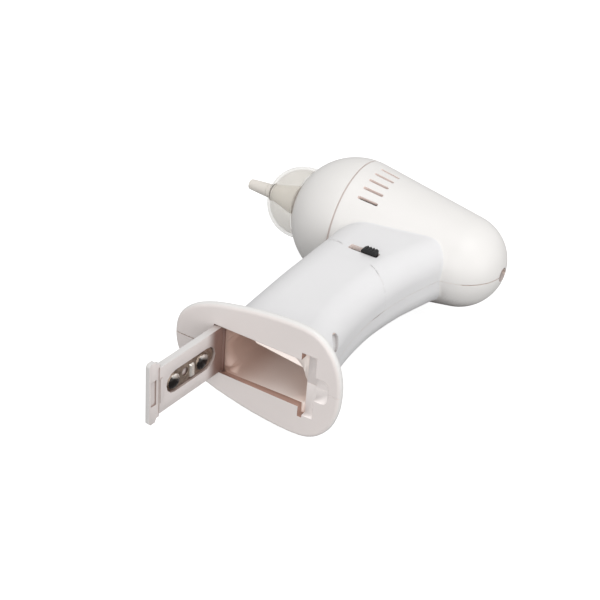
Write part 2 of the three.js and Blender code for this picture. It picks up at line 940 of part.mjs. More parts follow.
function metal(colour, roughness = 0.3) {
  return new THREE.MeshStandardMaterial({ color: colour, roughness, metalness: 1 });
}

const WHITE = 0xf1efea;
const BLACK = 0x17181a;
const STEEL = 0xb9bcc0;
const NICKEL = 0xa89f94;

function named(name, shape, material) {
  const geometry = shape.isBufferGeometry ? outward(shape) : geometryOf(shape);
  const mesh = new THREE.Mesh(geometry, material);
  mesh.name = name;
  return mesh;
}

// ---- assembly -----------------------------------------------------------

const body = new THREE.Group();
const shell = wholeShell();
body.add(named("left_shell", leftShell(shell), plastic(WHITE)));
body.add(named("right_shell", rightShell(shell), plastic(WHITE)));
body.add(named("nose_dome", noseDome(), plastic(WHITE, 0.3)));
body.add(named("splash_guard", guard(), plastic(0xe6e2d6, 0.25)));
body.add(named("ear_tip", earTip(), plastic(0xe3dfd2, 0.45)));
body.add(named("filter_pad", filterPad(), plastic(0x8d9096, 0.95)));
body.add(named("filter_ring", filterRing(), plastic(0xdedbd4, 0.5)));
body.add(named("fan_inlet_plate", inletPlate(), plastic(0xdedbd4, 0.5)));
body.add(named("impeller", impeller(), plastic(0xd8d6cf, 0.5)));
body.add(named("motor_shaft", rodX(1, FAN_X[0] + 0.6, MOTOR_X[1] + 2.2, 0, 0, 16), metal(STEEL)));
body.add(named("motor_rotor", rotor(), metal(0x9a5b34, 0.45)));
body.add(named("motor_can", motorCan(), metal(STEEL, 0.35)));
body.add(named("motor_end_cap", motorCap(), plastic(0x1d1e20, 0.5)));
body.add(named("motor_terminal_plus", raised(motorTerminal(1), -1.4, 1.4), metal(0xc7a35a)));
body.add(named("motor_terminal_minus", raised(motorTerminal(-1), -1.4, 1.4), metal(0xc7a35a)));

body.add(named("switch_knob", switchKnob(), plastic(BLACK, 0.45)));
body.add(named("switch_body", switchBody(), plastic(0x3a2d27, 0.6)));
[17.5, 22.7, 27.9].forEach((x, i) => {
  const pin = box(x - 0.5, x + 0.5, SWITCH_MID_Y - 0.25, SWITCH_MID_Y + 0.25, -1.4, 2.3);
  body.add(named(`switch_pin_${i + 1}`, pin, metal(0xc7a35a)));
});

body.add(named("contact_bulkhead", bulkhead(), plastic(WHITE, 0.5)));
body.add(named("bay_contact_minus", innerContact(CELL_X[0]), metal(NICKEL)));
body.add(named("bay_contact_plus", contactBump(CELL_X[1]), metal(NICKEL)));
const bayCoilY = BAY_END_Y - 3.3;
body.add(
  named("bay_spring", coil(CELL_X[0], -0.5, bayCoilY - 0.4, bayCoilY - 5.6, 3.9, 2.2, 4, 0.4), metal(NICKEL)),
);
SCREWS.forEach((place, i) => {
  body.add(named(`shell_screw_${i + 1}`, screw(place), metal(STEEL)));
});

const wires = [
  [
    "wire_motor_red",
    0xb3231c,
    [
      [MOTOR_X[1] + 5.4, 6, 2.2],
      [48.6, 1, 7.4],
      [45, -8, 8.6],
      [38.6, -14.4, 7],
      [34.6, -23, 2],
      [29, -30.4, -1.6],
      [23.2, -34, -2.2],
      [22.7, SWITCH_MID_Y, -2],
    ],
  ],
  [
    "wire_motor_black",
    0x1b1b1d,
    [
      [MOTOR_X[1] + 5.4, -6, -2.2],
      [48.2, -9.4, -5.4],
      [38.4, -14, -7],
      [32, -22, -7.6],
      [23, -31.4, -6],
      [15.6, -36.4, -0.6],
      [13.5, -37.4, 3.4],
      [CELL_X[0], -40, 4.6],
    ],
  ],
  [
    "wire_bay_red",
    0xb3231c,
    [
      [27.9, SWITCH_MID_Y, -2],
      [28.6, SWITCH_MID_Y - 1.2, -3],
      [29.2, SWITCH_MID_Y - 2.6, -1],
      [CELL_X[1] + 0.3, -40.6, 3.2],
    ],
  ],
];
for (const [name, colour, points] of wires) {
  body.add(named(name, tube(points, 0.6, 16, 2), plastic(colour, 0.5)));
}

// the door with its contact sheet, swung out about its hinge
const door = new THREE.Group();
door.add(named("battery_door", doorPanel(), plastic(WHITE)));
door.add(named("door_contact", doorContact(), metal(NICKEL)));
const swing = THREE.MathUtils.degToRad(-DOOR_OPEN_DEG);
door.rotation.z = swing;
door.position.set(
  HINGE_X - (HINGE_X * Math.cos(swing) - HINGE_Y * Math.sin(swing)),
  HINGE_Y - (HINGE_X * Math.sin(swing) + HINGE_Y * Math.cos(swing)),
  0,
);
body.add(door);

// origin under the middle of the object, on the surface it lies on
body.updateMatrixWorld(true);
const extent = new THREE.Box3().setFromObject(body, true);
body.position.set(
  -(extent.min.x + extent.max.x) / 2,
  -(extent.min.y + extent.max.y) / 2,
  -extent.min.z,
);

const cleaner = new THREE.Group();
cleaner.add(body);
export default cleaner;
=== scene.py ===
import bmesh
import bpy
import math
import numpy as np
from mathutils import Matrix, Vector


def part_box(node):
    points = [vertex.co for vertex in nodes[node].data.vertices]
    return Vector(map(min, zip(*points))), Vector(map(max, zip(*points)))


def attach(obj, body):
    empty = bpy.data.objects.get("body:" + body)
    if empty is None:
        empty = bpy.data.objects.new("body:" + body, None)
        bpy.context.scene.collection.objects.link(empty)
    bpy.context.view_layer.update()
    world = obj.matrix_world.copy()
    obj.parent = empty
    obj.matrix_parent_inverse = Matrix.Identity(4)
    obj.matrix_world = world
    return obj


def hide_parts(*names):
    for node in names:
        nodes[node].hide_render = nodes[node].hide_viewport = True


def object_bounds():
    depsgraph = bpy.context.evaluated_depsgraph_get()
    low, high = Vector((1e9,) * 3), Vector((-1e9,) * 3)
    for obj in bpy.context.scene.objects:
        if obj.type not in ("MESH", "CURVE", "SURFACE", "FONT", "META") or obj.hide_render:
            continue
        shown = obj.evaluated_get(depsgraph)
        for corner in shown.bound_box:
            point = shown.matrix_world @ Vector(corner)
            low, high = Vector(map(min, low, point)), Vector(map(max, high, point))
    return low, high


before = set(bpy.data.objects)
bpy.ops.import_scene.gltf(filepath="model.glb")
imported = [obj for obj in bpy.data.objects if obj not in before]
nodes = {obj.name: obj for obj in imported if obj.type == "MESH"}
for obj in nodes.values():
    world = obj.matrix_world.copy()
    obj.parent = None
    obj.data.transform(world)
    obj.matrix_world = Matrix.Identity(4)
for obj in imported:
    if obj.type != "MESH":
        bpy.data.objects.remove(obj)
cad_box = [list(v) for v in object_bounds()]

# Sizes are in millimetres in the design frame: origin at the nose dome's centre,
# x toward the tail, y away from the foot, z up toward the left side.
MM = 0.001
DOME_R = 25.0
TAIL_R = 17.84
TAIL_X = 44.85
SEAM_X = 1.56
FOOT_Y = -101.3
FOOT_THICK = 3.0
HALF_THICK = 13.6
FRONT_ROUND = 13.0
REAR_ROUND = 10.0
TIP_END_X = -48.46
HINGE = (4.77, -99.4)
SCREWS = [(25, 15.2), (53.4, 0), (34.2, -38.6), (7.6, -31.5)]
DOOR_OPEN = math.radians(95.75)
MOUTH_DEEP = 2.35       # depth of the recessed rim around the battery opening
SEAM_HALF = 0.17        # the shells' joint lies within this of the mid-plane
HAIRLINE = 0.035        # what is left of the joint where it is closed
GROOVE_DEEP = 0.1       # depth of the styling line in the drawn surface
MOST_MOVE = 0.9         # furthest that smoothing moves a vertex
FINEST = 1.5            # longest edge left in the drawn skin
SKIN_BAND = 0.55        # a face this near the smooth surface is skin,
SKIN_TURN = 0.72        # when the cosine between it and the surface is at least this


def anchor():
    """Design frame's origin (the nose dome's centre) in the row frame."""
    lo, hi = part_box("nose_dome")
    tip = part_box("ear_tip")[0]
    return Vector((tip[0] - TIP_END_X * MM, (lo[1] + hi[1]) / 2, (lo[2] + hi[2]) / 2))


O = anchor()


def at(x, y, z):
    """Design millimetres to the row frame."""
    return Vector((O.x + x * MM, O.y + y * MM, O.z + z * MM))


# ---- camera -------------------------------------------------------------

AZIMUTH = math.radians(28.56)
ELEVATION = math.radians(33.77)
ROLL = math.radians(4.75)
DISTANCE = 0.47859
FOCAL = 81.38


def add_camera():
    data = bpy.data.cameras.new("camera")
    cam = bpy.data.objects.new("camera", data)
    bpy.context.scene.collection.objects.link(cam)
    back = Vector((
        math.sin(AZIMUTH) * math.cos(ELEVATION),
        -math.cos(AZIMUTH) * math.cos(ELEVATION),
        math.sin(ELEVATION),
    ))
    right = Vector((math.cos(AZIMUTH), math.sin(AZIMUTH), 0))
    up = back.cross(right)
    r = right * math.cos(ROLL) + up * math.sin(ROLL)
    u = up * math.cos(ROLL) - right * math.sin(ROLL)
    target = at(10.97, -59.76, 0)
    place = target + back * DISTANCE
    rows = [[r[i], u[i], back[i], place[i]] for i in range(3)]
    cam.matrix_world = Matrix(rows + [[0, 0, 0, 1]])
    data.lens = FOCAL
    data.sensor_width = 36
    data.clip_start = 0.01
    data.clip_end = 20
    bpy.context.scene.camera = cam


# ---- materials ----------------------------------------------------------

def new_material(name):
    mat = bpy.data.materials.new(name)
    mat.use_nodes = True
    return mat, mat.node_tree, mat.node_tree.nodes["Principled BSDF"]


def node(tree, kind, **values):
    n = tree.nodes.new(kind)
    for key, value in values.items():
        setattr(n, key, value)
    return n


def noise(tree, scale, detail=3.0, rough=0.5):
    place = node(tree, "ShaderNodeTexCoord")
    n = node(tree, "ShaderNodeTexNoise")
    n.inputs["Scale"].default_value = scale
    n.inputs["Detail"].default_value = detail
    n.inputs["Roughness"].default_value = rough
    tree.links.new(place.outputs["Object"], n.inputs["Vector"])
    return n.outputs["Fac"]


def spread(tree, fac, low, high, a, b):
    """A colour ramp from a at low to b at high."""
    ramp = node(tree, "ShaderNodeValToRGB")
    ramp.color_ramp.elements[0].position = low
    ramp.color_ramp.elements[0].color = (*a, 1)
    ramp.color_ramp.elements[1].position = high
    ramp.color_ramp.elements[1].color = (*b, 1)
    tree.links.new(fac, ramp.inputs["Fac"])
    return ramp.outputs["Color"]


def level(tree, fac, low, high):
    """Maps the noise's middle range to low..high."""
    m = node(tree, "ShaderNodeMapRange")
    m.inputs["From Min"].default_value = 0.3
    m.inputs["From Max"].default_value = 0.7
    m.inputs["To Min"].default_value = low
    m.inputs["To Max"].default_value = high
    tree.links.new(fac, m.inputs["Value"])
    return m.outputs["Result"]


def relief(tree, bsdf, fac, depth, edge=0.0):
    """Fine bump on the surface, over edges rounded by the radius edge."""
    bump = node(tree, "ShaderNodeBump")
    bump.inputs["Strength"].default_value = 0.3
    bump.inputs["Distance"].default_value = depth
    tree.links.new(fac, bump.inputs["Height"])
    if edge:
        bevel = node(tree, "ShaderNodeBevel", samples=4)
        bevel.inputs["Radius"].default_value = edge
        tree.links.new(bevel.outputs["Normal"], bump.inputs["Normal"])
    tree.links.new(bump.outputs["Normal"], bsdf.inputs["Normal"])


def painted_crease_shade(tree, colour, shade_tint, reach, start=0.25, end=0.85):
    """Painted shade: warmer and deeper where the plastic is hemmed in, in creases and recesses."""
    near = node(tree, "ShaderNodeAmbientOcclusion", samples=8)
    near.inputs["Distance"].default_value = reach
    open_ = node(tree, "ShaderNodeMapRange", interpolation_type="SMOOTHSTEP")
    open_.inputs["From Min"].default_value = start
    open_.inputs["From Max"].default_value = end
    tree.links.new(near.outputs["AO"], open_.inputs["Value"])
    deep = node(tree, "ShaderNodeMix", data_type="RGBA", blend_type="MULTIPLY")
    deep.inputs["Factor"].default_value = 1.0
    deep.inputs["B"].default_value = (*shade_tint, 1)
    tree.links.new(colour, deep.inputs["A"])
    mix = node(tree, "ShaderNodeMix", data_type="RGBA")
    tree.links.new(open_.outputs["Result"], mix.inputs["Factor"])
    tree.links.new(deep.outputs["Result"], mix.inputs["A"])
    tree.links.new(colour, mix.inputs["B"])
    return mix.outputs["Result"]


def cosine(tree, axis):
    """Cosine between the surface's normal and an object axis."""
    place = node(tree, "ShaderNodeTexCoord")
    dot = node(tree, "ShaderNodeVectorMath", operation="DOT_PRODUCT")
    dot.inputs[1].default_value = axis
    tree.links.new(place.outputs["Normal"], dot.inputs[0])
    return dot.outputs["Value"]


def toward(tree, axis, low, high, **values):
    """From 0 to 1 as the cosine to an object axis runs from low to high."""
    turn = node(tree, "ShaderNodeMapRange", **values)
    turn.inputs["From Min"].default_value = low
    turn.inputs["From Max"].default_value = high
    tree.links.new(cosine(tree, axis), turn.inputs["Value"])
    return turn.outputs["Result"]


def painted_facing_tone(tree, colour, side, axis):
    """Painted tone by facing: takes the side colour where the surface turns away from an object
    axis.
    """
    mix = node(tree, "ShaderNodeMix", data_type="RGBA")
    mix.inputs["A"].default_value = (*side, 1)
    turn = toward(tree, axis, 0.35, 0.95, interpolation_type="SMOOTHSTEP")
    tree.links.new(turn, mix.inputs["Factor"])
    tree.links.new(colour, mix.inputs["B"])
    return mix.outputs["Result"]


def painted_shade_along_axis(tree, colour, shade_colour, axis, low, high, only=None):
    """Painted shade: multiplies by the shade colour up to low on an object axis, untouched from
    high on;
    with only, just where the surface faces that way."""
    place = node(tree, "ShaderNodeTexCoord")
    parts = node(tree, "ShaderNodeSeparateXYZ")
    tree.links.new(place.outputs["Object"], parts.inputs[0])
    shade_run = node(tree, "ShaderNodeMapRange", interpolation_type="SMOOTHSTEP")
    shade_run.inputs["From Min"].default_value = low
    shade_run.inputs["From Max"].default_value = high
    tree.links.new(parts.outputs[axis], shade_run.inputs["Value"])
    tone = node(tree, "ShaderNodeMix", data_type="RGBA")
    tone.inputs["A"].default_value = (*shade_colour, 1)
    tone.inputs["B"].default_value = (1, 1, 1, 1)
    factor = shade_run.outputs["Result"]
    if only:
        both = node(tree, "ShaderNodeMath", operation="MAXIMUM")
        tree.links.new(factor, both.inputs[0])
        tree.links.new(toward(tree, only, 0.45, 0.15), both.inputs[1])
        factor = both.outputs["Value"]
    tree.links.new(factor, tone.inputs["Factor"])
    out = node(tree, "ShaderNodeMix", data_type="RGBA", blend_type="MULTIPLY")
    out.inputs["Factor"].default_value = 1.0
    tree.links.new(colour, out.inputs["A"])
    tree.links.new(tone.outputs["Result"], out.inputs["B"])
    return out.outputs["Result"]


FLOW_SCALE = 70
SMEAR_SCALE = 240
GRAIN_SCALE = 1800
GRAIN_DEPTH = 0.000005
UNEVEN_GLOSS = 0.012


def plastic(name, colour, rough=0.3, vary=0.025, edge=0.0, shade_tint=None, reach=0.01,
            start=0.25, end=0.85, side=None, axis=(0, -1, 0), shade_run=None, glow=0.0):
    """Moulded plastic: faint flow marks in its colour, uneven gloss and a fine grain.

    The tint paints shade into hemmed-in places, side paints a tone on what turns away from
    axis, run paints shade along one axis, and glow is painted light, a glow in the surface's own
    colour."""
    mat, tree, bsdf = new_material(name)
    flow = noise(tree, FLOW_SCALE, 2.0)
    dark = tuple(max(c * (1 - vary), 0) for c in colour)
    light = tuple(min(c * (1 + vary), 1) for c in colour)
    out = spread(tree, flow, 0.35, 0.65, dark, light)
    if side:
        out = painted_facing_tone(tree, out, side, axis)
    if shade_tint:
        out = painted_crease_shade(tree, out, shade_tint, reach, start, end)
    if shade_run:
        out = painted_shade_along_axis(tree, out, *shade_run)
    tree.links.new(out, bsdf.inputs["Base Color"])
    if glow:
        bsdf.inputs["Emission Strength"].default_value = glow
        tree.links.new(out, bsdf.inputs["Emission Color"])
    smear = noise(tree, SMEAR_SCALE, 3.0)
    gloss = level(tree, smear, rough - UNEVEN_GLOSS, rough + UNEVEN_GLOSS)
    tree.links.new(gloss, bsdf.inputs["Roughness"])
    relief(tree, bsdf, noise(tree, GRAIN_SCALE, 2.0), GRAIN_DEPTH, edge)
    return mat


def metal(name, colour, rough=0.3, vary=0.12, scale=420, metallic=1.0):
    """Rolled or drawn metal with a faint uneven finish."""
    mat, tree, bsdf = new_material(name)
    bsdf.inputs["Metallic"].default_value = metallic
    wear = noise(tree, scale, 4.0)
    dark = tuple(c * (1 - vary) for c in colour)
    light = tuple(min(c * (1 + vary), 1) for c in colour)
    tree.links.new(spread(tree, wear, 0.35, 0.65, dark, light), bsdf.inputs["Base Color"])
    gloss = level(tree, noise(tree, scale * 3, 3.0), rough - 0.06, rough + 0.1)
    tree.links.new(gloss, bsdf.inputs["Roughness"])
    relief(tree, bsdf, noise(tree, scale * 6, 2.0), 0.00002)
    return mat


def foam(name, colour):
    """Open-cell foam: dark pores in a rough surface."""
    mat, tree, bsdf = new_material(name)
    cells = noise(tree, 1800, 4.0, 0.7)
    dark = tuple(c * 0.4 for c in colour)
    tree.links.new(spread(tree, cells, 0.4, 0.6, dark, colour), bsdf.inputs["Base Color"])
    bsdf.inputs["Roughness"].default_value = 0.95
    relief(tree, bsdf, cells, 0.0003)
    return mat


# Painted shade: the head darkens strongly in its creases and under its tail.
HEAD = plastic("head_plastic", (0.715, 0.698, 0.68), 0.4, 0.008,
               shade_tint=(0.2, 0.155, 0.145), reach=0.032, start=0.14, end=0.6)
# The nose and handle carry milder painted shade in their creases.
NOSE = plastic("nose_plastic", (0.70, 0.684, 0.666), 0.4, 0.008, shade_tint=(0.72, 0.64, 0.6))
HANDLE = plastic("handle_plastic", (0.68, 0.675, 0.68), 0.44, 0.008, shade_tint=(0.42, 0.35, 0.33))
# Painted light by facing: the foot's front face stays warmer, and what turns away from it takes a
# greyer side tone.
FOOT = plastic("foot_plastic", (0.71, 0.655, 0.635), 0.4, 0.012, edge=0.00035,
               side=(0.69, 0.68, 0.665))
INSIDE = plastic("shell_inside", (0.74, 0.62, 0.56), 0.5, 0.03)
# Painted light and shade: the bay's warm tone stands in for bounced light, with painted shade in
# its creases and toward the hinge end, and a faint painted glow.
BAY = plastic("bay_plastic", (0.87, 0.795, 0.75), 0.45, 0.02,
              shade_tint=(0.8, 0.69, 0.64), reach=0.02,
              shade_run=((0.66, 0.53, 0.48), "X", O.x + 4 * MM, O.x + 30 * MM), glow=0.045)
DOOR_INNER_SIDE = (0.995, 0.1, 0)
# Painted shade: the door is a darker copy of the white plastic, darker still on its edges, in its
# creases and on its inner face near the hinge.
DOOR = plastic("door_plastic", (0.66, 0.61, 0.595), 0.36, 0.012,
               shade_tint=(0.5, 0.38, 0.34), reach=0.012, start=0.35, end=0.95,
               side=(0.60, 0.585, 0.575), axis=DOOR_INNER_SIDE,
               shade_run=((0.3, 0.19, 0.16), "Y", O.y - 103.5 * MM, O.y - 109 * MM, DOOR_INNER_SIDE))
# Painted light: the opening's rim glows so that it reads as lit.
MOUTH = plastic("mouth_plastic", (0.78, 0.73, 0.71), 0.45, 0.015, glow=0.26)
# Painted light: the door's seat glows so that it reads as lit.
SEAT = plastic("seat_plastic", (0.88, 0.79, 0.745), 0.5, 0.02, glow=0.26)
# Painted shade: a dark brown for faces of the opening that sit in shadow.
PAINTED_SHADE = plastic("painted_shade_plastic", (0.34, 0.20, 0.155), 0.6, 0.06)
# Painted light: the walls of the vents and switch slot glow faintly so they read brown, not black.
SLOT = plastic("slot_plastic", (0.76, 0.66, 0.62), 0.6, 0.04, glow=0.12)
# A dark tone for the nose's seam groove, also used as painted shade on the walls of the tail's
# socket.
SEAM_AND_SHADE = plastic("seam_and_painted_shade_plastic", (0.53, 0.465, 0.44), 0.5, 0.03)
LINE = plastic("line_plastic", (0.66, 0.65, 0.65), 0.44, 0.012)

# ---- body surface as a smooth field -------------------------------------

FRONT_EDGE = np.array([
    (-4, 2.4), (-24, 1.9), (-45, 1.4), (-60, 1.1), (-73, 1.2), (-90, 1.5), (-98.4, 1.5),
])
REAR_EDGE = np.array([
    (-4, 50), (-18.8, 45.1), (-26.6, 42.8), (-34.3, 40.7), (-45.7, 38.7),
    (-55, 37.8), (-66, 37.8), (-76, 38.6), (-90, 41), (-98.4, 43),
])
FOOT_HALF = [
    (-13.5, 0), (-12.1, 7.2), (-7.2, 12.8), (0, 16.5), (13, 19.8), (22, 21.2),
    (32, 21.9), (39, 21.3), (43.8, 18.8), (48.1, 13.4), (50.5, 6.3), (51, 0),
]


def along(rows, y):
    """Smooth curve through [y, value] rows, y falling, for an array of y."""
    ys, vs = rows[:, 0], rows[:, 1]
    k = np.clip(np.searchsorted(-ys, -y, side="right") - 1, 0, len(ys) - 2)
    slope = np.empty(len(ys))
    slope[1:-1] = (vs[2:] - vs[:-2]) / (ys[2:] - ys[:-2])
    slope[0] = (vs[1] - vs[0]) / (ys[1] - ys[0])
    slope[-1] = (vs[-1] - vs[-2]) / (ys[-1] - ys[-2])
    step = ys[k + 1] - ys[k]
    t = (y - ys[k]) / step
    t2, t3 = t * t, t * t * t
    return ((2 * t3 - 3 * t2 + 1) * vs[k] + (t3 - 2 * t2 + t) * slope[k] * step
            + (3 * t2 - 2 * t3) * vs[k + 1] + (t3 - t2) * slope[k + 1] * step)


def closed_spline(points, count):
    """Centripetal Catmull-Rom loop through the points."""
    p = np.array(points, float)
    n = len(p)
    out = []
    for i in range(n):
        p0, p1, p2, p3 = p[i - 1], p[i], p[(i + 1) % n], p[(i + 2) % n]
        d = [max(np.linalg.norm(b - a) ** 0.5, 1e-6) for a, b in ((p0, p1), (p1, p2), (p2, p3))]
        m1 = d[1] * ((p1 - p0) / d[0] - (p2 - p0) / (d[0] + d[1]) + (p2 - p1) / d[1])
        m2 = d[1] * ((p2 - p1) / d[1] - (p3 - p1) / (d[1] + d[2]) + (p3 - p2) / d[2])
        for t in np.linspace(0, 1, count, endpoint=False):
            t2, t3 = t * t, t * t * t
            out.append((2 * t3 - 3 * t2 + 1) * p1 + (t3 - 2 * t2 + t) * m1
                       + (3 * t2 - 2 * t3) * p2 + (t3 - t2) * m2)
    return np.array(out)


FLARE_TOP = -89.0
FLARE_HEIGHT = 9.45
FLARE_OUT = 4.6
HANDLE_TOP = -6.0
HANDLE_END = FOOT_Y + 1
FOOT_LOOP = closed_spline(FOOT_HALF + [(x, -z) for x, z in FOOT_HALF[-2:0:-1]], 12)


def head_field(p):
    """Distance to the head: two spheres and the cone that touches both."""
    h = TAIL_X
    b = (DOME_R - TAIL_R) / h
    a = math.sqrt(1 - b * b)
    q = np.hypot(p[:, 1], p[:, 2])
    x = p[:, 0]
    k = -b * q + a * x
    cone = a * q + b * x - DOME_R
    near = np.hypot(q, x) - DOME_R
    far = np.hypot(q, x - h) - TAIL_R
    return np.where(k < 0, near, np.where(k > a * h, far, cone))


def handle_field(p):
    """Distance to the handle, a bent rounded box that flares out at the foot."""
    x, y, z = p.T
    t = np.clip((FLARE_TOP - y) / FLARE_HEIGHT, 0, 1)
    out = FLARE_OUT * (1 - np.sqrt(1 - t * t))
    yy = np.clip(y, FRONT_EDGE[-1, 0], FRONT_EDGE[0, 0])
    x0 = along(FRONT_EDGE, yy) - out
    x1 = along(REAR_EDGE, yy) + out
    h = HALF_THICK + out
    mid = (x0 + x1) / 2
    r = np.where(x < mid, FRONT_ROUND, REAR_ROUND) + out
    qx = np.abs(x - mid) - (x1 - x0) / 2 + r
    qz = np.abs(z) - h + r
    d = np.hypot(np.maximum(qx, 0), np.maximum(qz, 0)) + np.minimum(np.maximum(qx, qz), 0) - r
    d = np.maximum(d, y - HANDLE_TOP)
    return np.maximum(d, HANDLE_END - y)


def outline_distance(x, z):
    """Signed distance to the foot's outline, negative inside."""
    q = np.stack([x, z], 1)
    a = FOOT_LOOP
    b = np.roll(a, -1, 0)
    e = b - a
    best = np.full(len(q), 1e9)
    inside = np.zeros(len(q), bool)
    for i in range(len(a)):
        w = q - a[i]
        t = np.clip((w @ e[i]) / (e[i] @ e[i]), 0, 1)
        best = np.minimum(best, np.linalg.norm(w - t[:, None] * e[i], axis=1))
        crosses = (a[i, 1] > q[:, 1]) != (b[i, 1] > q[:, 1])
        if e[i, 1] != 0:
            where = a[i, 0] + e[i, 0] * (q[:, 1] - a[i, 1]) / e[i, 1]
            inside ^= crosses & (q[:, 0] < where)
    return np.where(inside, -best, best)


def foot_field(p):
    """Distance to the foot, a plate with a half-round rim."""
    f = np.full(len(p), 30.0)
    near = p[:, 1] < FOOT_Y + 14
    if near.any():
        half = FOOT_THICK / 2
        d = outline_distance(p[near, 0], p[near, 2]) + half
        up = np.abs(p[near, 1] - FOOT_Y - half)
        f[near] = np.where(d > 0, np.hypot(np.maximum(d, 0), up), up) - half
    return f


def blend_min(a, b, k):
    """Union of two fields with a fillet of about k."""
    h = np.maximum(k - np.abs(a - b), 0) / k
    return np.minimum(a, b) - h * h * k / 4


FILLET = 0.9
PROBE = 0.06


def field(p):
    body = blend_min(head_field(p), handle_field(p), FILLET)
    return blend_min(body, foot_field(p), FILLET)


def gradient(p):
    g = np.empty_like(p)
    for i in range(3):
        e = np.zeros(3)
        e[i] = PROBE
        g[:, i] = (field(p + e) - field(p - e)) / (2 * PROBE)
    return g


def to_surface(f, g, target=0.0):
    """Step along the gradient g that takes a point from field value f to the target."""
    return ((target - f) / np.maximum((g * g).sum(1), 0.3))[:, None] * g


# ---- new pieces ---------------------------------------------------------

def to_design(co):
    return (co - np.array(O)) / MM


def link(name, mesh, body, replaced=()):
    obj = bpy.data.objects.new(name, mesh)
    bpy.context.scene.collection.objects.link(obj)
    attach(obj, body)
    if replaced:
        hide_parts(*replaced)
    return obj


def held(co):
    """Keeps a point inside the CAD's box."""
    lo, hi = cad_box
    return Vector([min(max(c, a), b) for c, a, b in zip(co, lo, hi)])


def smooth(mesh, angle=32):
    mesh.polygons.foreach_set("use_smooth", [True] * len(mesh.polygons))
    mesh.set_sharp_from_angle(angle=math.radians(angle))


# kinds of face on a shell, in the order of its materials; skin kinds come first
(HEAD_SKIN, HANDLE_SKIN, FOOT_SKIN, INNER, IN_BAY, IN_SLOT,
 IN_GROOVE, IN_WELL, IN_MOUTH, IN_SHADE, IN_SOCKET, IN_SEAT) = range(12)
SHELL_MATERIALS = [
    HEAD, HANDLE, FOOT, INSIDE, BAY, SLOT, LINE, HANDLE, MOUTH, PAINTED_SHADE, SEAM_AND_SHADE, SEAT,
]


def face_data(bm):
    bm.faces.ensure_lookup_table()
    mid = np.array([f.calc_center_median() for f in bm.faces])
    nor = np.array([f.normal for f in bm.faces])
    return to_design(mid), nor


def sort_faces(bm):
    """Marks each face as skin, compartment, slot or inside by where it lies."""
    bm.normal_update()
    mid, nor = face_data(bm)
    f = field(mid)
    g = gradient(mid)
    g /= np.linalg.norm(g, axis=1, keepdims=True)
    x, y, z = mid.T
    side_x, side_z = nor[:, 0], nor[:, 2]

    skin = (np.abs(f) < SKIN_BAND) & ((g * nor).sum(1) > SKIN_TURN)
    foot = y < -98.7
    head = head_field(mid) < handle_field(mid)
    groove_y = -31.5 - 0.424 * x
    line = ~skin & (f > -1.6) & (y > -60) & (np.abs(y - groove_y) < 0.8)
    in_bay = ~skin & ~line & (x > 1.8) & (x < 47.5) & (np.abs(z) < 14) & (y < -43)
    in_bay &= ~((x < 2.25) & (y > -98))

    # the small recess above the foot, and the screw wells
    well = ~skin & (x > 37) & (y > -92) & (y < -74) & (z > 0) & (f > -3.4)
    near_screw = np.any([np.hypot(x - a, y - b) < 2.9 for a, b in SCREWS], axis=0)
    well |= ~skin & (z < -6) & (f > -12) & (f < -0.02) & near_screw

    # walls of the vents, of the switch slot and of the socket in the tail
    vent = (y > -26) & (x < 16) & (x > 5)
    switch = (y < -33) & (y > -40) & (x > 15) & (x < 30)
    tail = x > 55
    slots = ~skin & ~in_bay & (f > -2.3) & (f < -0.02) & (np.abs(z) > 1)
    slots &= vent | switch | tail

    # the opening's rim; its lower wall, hinge end and two corner notches get painted shade
    mouth = in_bay & (y < FOOT_Y + MOUTH_DEEP)
    lower_wall = (side_z > 0.6) & (x < 38)
    notch = (x < 40) & (side_x > 0.5) & ((z > 10.2) | (z < -9.6))
    dark = mouth & (lower_wall | (x < 4.2) | notch)

    for i, face in enumerate(bm.faces):
        if skin[i]:
            kind = FOOT_SKIN if foot[i] else HEAD_SKIN if head[i] else HANDLE_SKIN
        elif well[i]:
            kind = IN_WELL
        elif in_bay[i]:
            kind = IN_SHADE if dark[i] else IN_MOUTH if mouth[i] else IN_BAY
        elif line[i]:
            kind = IN_GROOVE
        elif slots[i]:
            # the tail socket's walls take painted shade
            kind = IN_SOCKET if tail[i] else IN_SLOT
        else:
            kind = INNER
        face.material_index = kind


def ledge(bm):
    """Thin seat for the door, widening away from the hinge under the mouth's upper edge."""
    y0, y1 = FOOT_Y + 3.45, FOOT_Y + 3.95
    outline = [
        (13.6, 9.8), (15.2, 7.4), (16.9, 5.95), (36.2, 3.85),
        (38.2, 5.0), (38.2, 11.0), (30.0, 10.6), (24.0, 9.8),
    ]
    front = [bm.verts.new(at(x, y0, z)) for x, z in outline]
    rear = [bm.verts.new(at(x, y1, z)) for x, z in outline]
    n = len(outline)
    faces = [bm.faces.new(front), bm.faces.new(rear[::-1])]
    for i in range(n):
        k = (i + 1) % n
        faces.append(bm.faces.new((front[i], rear[i], rear[k], front[k])))
    for face in faces:
        face.material_index = IN_SEAT
    bmesh.ops.recalc_face_normals(bm, faces=faces)


def of_skin(faces):
    return any(f.material_index <= FOOT_SKIN for f in faces)


def refine(bm, longest):
    """Splits the skin's long edges."""
    for _ in range(7):
        cut = [e for e in bm.edges if e.calc_length() > longest and of_skin(e.link_faces)]
        if not cut:
            break
        bmesh.ops.subdivide_edges(bm, edges=cut, cuts=1)
        big = [f for f in bm.faces if len(f.verts) > 3]
        bmesh.ops.triangulate(bm, faces=big)


def places(verts):
    return to_design(np.array([v.co for v in verts]))


